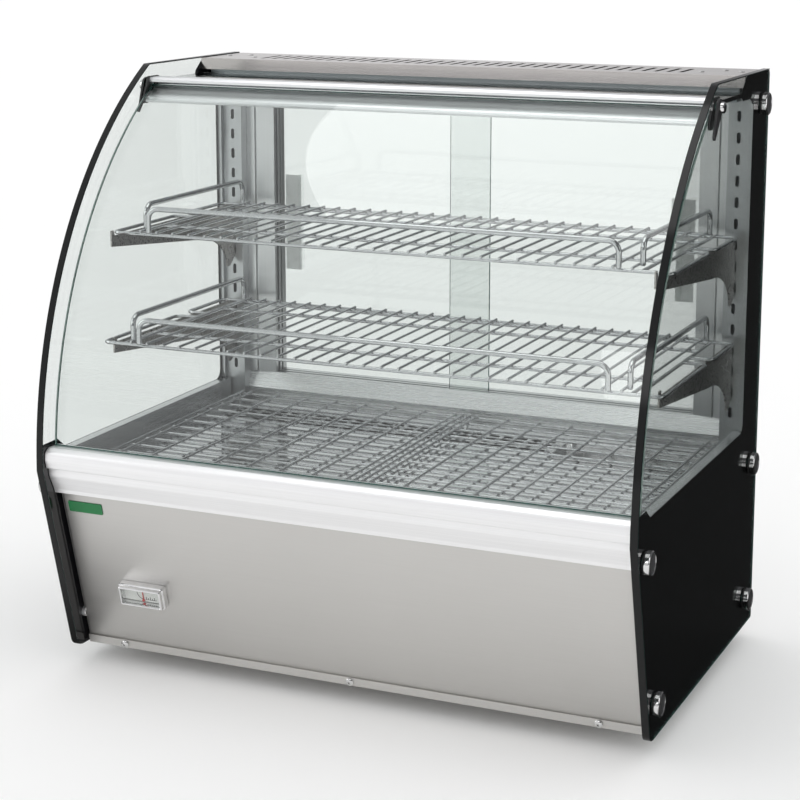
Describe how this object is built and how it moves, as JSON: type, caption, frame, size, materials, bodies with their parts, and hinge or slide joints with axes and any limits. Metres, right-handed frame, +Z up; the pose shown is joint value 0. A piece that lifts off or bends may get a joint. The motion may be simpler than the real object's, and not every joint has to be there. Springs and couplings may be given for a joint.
{
  "type": "hot food display case",
  "caption": "Countertop heated display case with curved lift-up front glass, clear sides with black printed lower fields, wire shelves on hooked brackets and rear sliding glass doors.",
  "frame": {"origin": "middle of the overall width and depth, on the surface that the feet stand on", "axes": "+X to the right seen from the customer side, +Y towards the sliding doors at the back, +Z up; the curved front glass faces -Y"},
  "size_m": [0.7, 0.4654, 0.67],
  "materials": {
    "stainless": "brushed stainless steel sheet",
    "polished_steel": "polished stainless steel",
    "chromed_wire": "bright chromed steel wire",
    "aluminium_profile": "satin anodised aluminium extrusion",
    "clear_glass": "clear tempered glass with polished edges",
    "clear_acrylic": "clear acrylic finger pull",
    "black_print": "black ceramic print baked on the inner face of the glass",
    "black_edging": "glossy black edge finish",
    "black_plastic": "black moulded plastic",
    "rubber": "black rubber",
    "lamp_diffuser": "opal lamp cover",
    "green_rocker": "green rocker",
    "heater_sheath": "heat-darkened steel heater sheath",
    "dial_white": "printed white dial",
    "pointer_red": "red painted pointer",
    "label_green": "plain green plate with no lettering"
  },
  "bodies": {
    "case": {"base_tray": "stainless", "feet": "rubber", "front_panel": "stainless", "front_screws": "polished_steel", "side_sheet_left": "stainless", "side_sheet_right": "stainless", "rear_panel": "stainless", "rear_screws": "polished_steel", "front_profile": "aluminium_profile", "deck_plate": "stainless", "deck_ledges": "stainless", "deck_grid_left": "chromed_wire", "deck_grid_right": "chromed_wire", "water_pan": "polished_steel", "side_glass_left": "clear_glass", "side_glass_right": "clear_glass", "glass_prints": "black_print", "edge_trims": "black_edging", "standoff_caps": "polished_steel", "standoff_washers": "rubber", "standoff_studs": "polished_steel", "standoff_spacers": "aluminium_profile", "pivot_bushes": "black_plastic", "hinge_plates": "black_plastic", "top_glass": "clear_glass", "top_cover": "stainless", "cover_screws": "polished_steel", "lamp_housing": "aluminium_profile", "lamp_lens": "lamp_diffuser", "uprights": "aluminium_profile", "door_sill": "aluminium_profile", "door_header": "aluminium_profile", "door_jambs": "aluminium_profile", "upper_brackets": "stainless", "lower_brackets": "stainless", "upper_shelf_grid": "chromed_wire", "upper_shelf_guards": "chromed_wire", "lower_shelf_grid": "chromed_wire", "lower_shelf_guards": "chromed_wire", "heating_element": "heater_sheath", "fan_frame": "black_plastic", "thermostat_body": "black_plastic", "switch_housings": "black_plastic", "cable_gland": "black_plastic", "thermometer_bezel": "chromed_wire", "thermometer_dial": "dial_white", "label_plate": "label_green"},
    "front_window": {"front_glass": "clear_glass", "glass_rail": "aluminium_profile", "rail_end_caps": "black_plastic", "pivot_pins": "polished_steel"},
    "left_door": {"door_left": "clear_glass", "door_left_handle": "clear_acrylic"},
    "right_door": {"door_right": "clear_glass", "door_right_handle": "clear_acrylic"},
    "thermostat_dial": {"thermostat_knob": "black_plastic"},
    "power_rocker": {"power_switch": "green_rocker"},
    "light_rocker": {"light_switch": "black_plastic"},
    "fan_wheel": {"fan_rotor": "black_plastic"},
    "dial_pointer": {"thermometer_pointer": "pointer_red"}
  },
  "joints": [
    {"name": "front_window_hinge", "type": "hinge", "parent": "case", "child": "front_window", "pos_m": [0, 0.0113, 0.6455], "axis": [-1, 0, 0], "range_deg": [0, 72]},
    {"name": "left_door_slide", "type": "slide", "parent": "case", "child": "left_door", "axis": [1, 0, 0], "range_m": [0, 0.25]},
    {"name": "right_door_slide", "type": "slide", "parent": "case", "child": "right_door", "axis": [-1, 0, 0], "range_m": [0, 0.25]},
    {"name": "thermostat_turn", "type": "hinge", "parent": "case", "child": "thermostat_dial", "pos_m": [0.2, 0.2145, 0.13], "axis": [0, 1, 0], "range_deg": [0, 270]},
    {"name": "power_switch_rock", "type": "hinge", "parent": "case", "child": "power_rocker", "pos_m": [0.12, 0.212, 0.13], "axis": [1, 0, 0], "range_deg": [0, 22]},
    {"name": "light_switch_rock", "type": "hinge", "parent": "case", "child": "light_rocker", "pos_m": [0.07, 0.212, 0.13], "axis": [1, 0, 0], "range_deg": [0, 22]},
    {"name": "fan_spin", "type": "hinge", "parent": "case", "child": "fan_wheel", "pos_m": [-0.08, 0.108, 0.15], "axis": [0, 0, 1], "continuous": true},
    {"name": "thermometer_swing", "type": "hinge", "parent": "case", "child": "dial_pointer", "pos_m": [-0.2435, -0.1785, 0.09114], "axis": [0, -0.9666, -0.2562], "range_deg": [-40, 40]}
  ]
}
